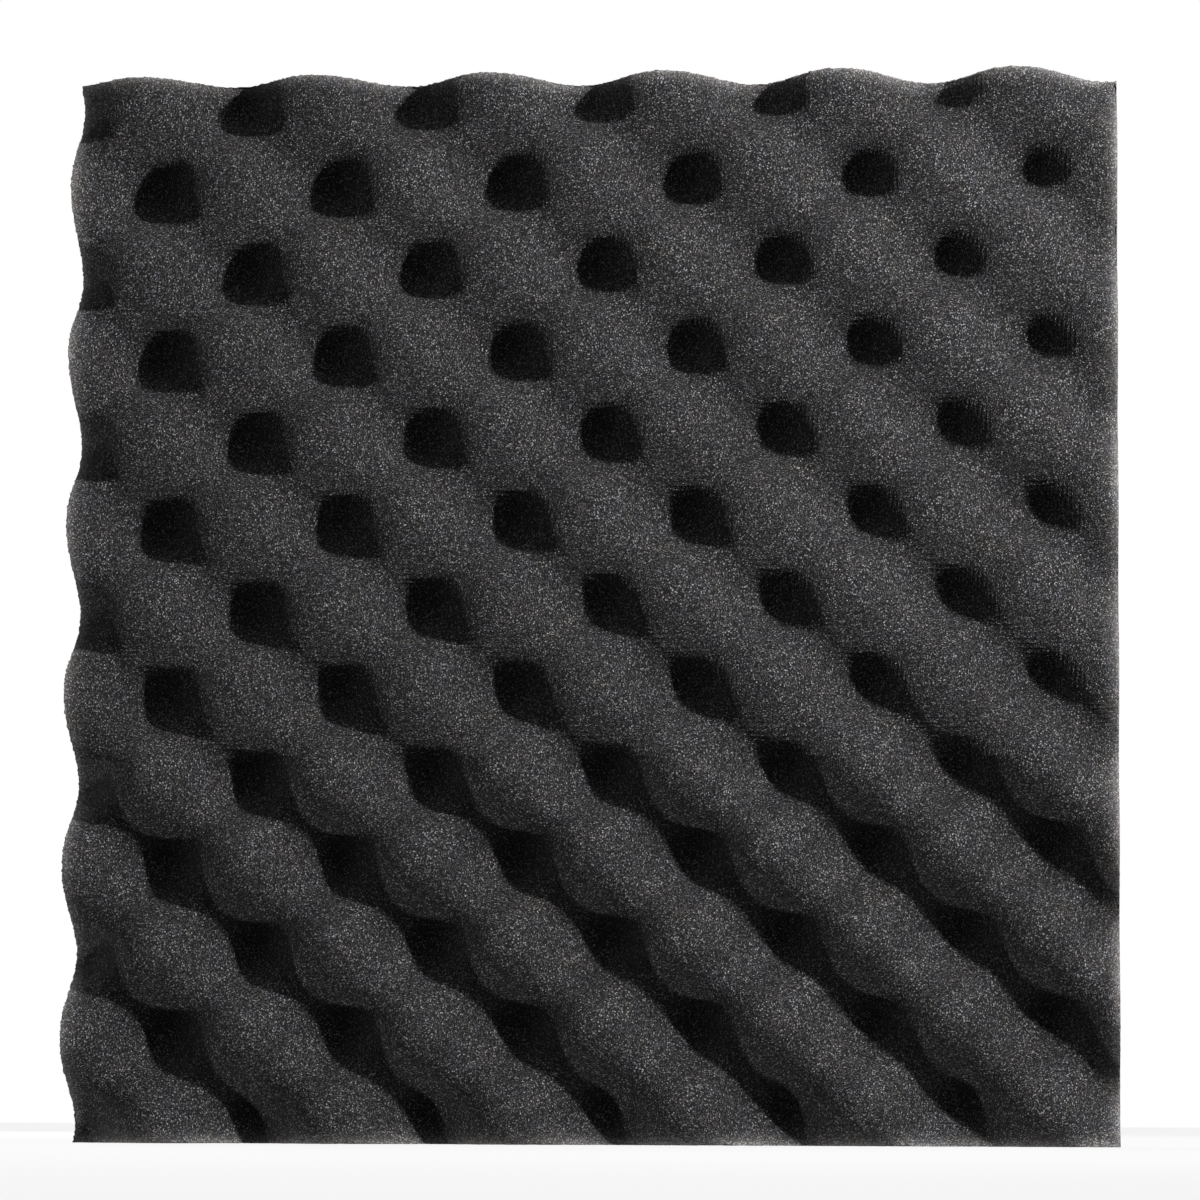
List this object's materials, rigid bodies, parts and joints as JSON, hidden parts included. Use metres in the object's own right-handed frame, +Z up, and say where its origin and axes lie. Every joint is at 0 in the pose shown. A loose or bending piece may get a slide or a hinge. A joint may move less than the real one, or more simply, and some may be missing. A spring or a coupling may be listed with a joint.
{
  "type": "acoustic foam panel",
  "caption": "Square wall tile of dark open-cell foam with a convoluted egg-crate face, straight cut edges and a self-adhesive back under a slit release liner.",
  "frame": {"origin": "middle of the back, on the face that goes against the wall", "axes": "+Z up as the tile hangs, +Y square into the wall, X along the wall; the egg-crate face looks along -Y into the room"},
  "size_m": [0.3, 0.0404, 0.306],
  "materials": {
    "foam": "matte",
    "adhesive": "satin",
    "liner": "satin"
  },
  "bodies": {
    "root": {"foam_tile": "foam", "adhesive_film": "adhesive", "release_liner_wide": "liner", "release_liner_strip": "liner"}
  },
  "joints": []
}
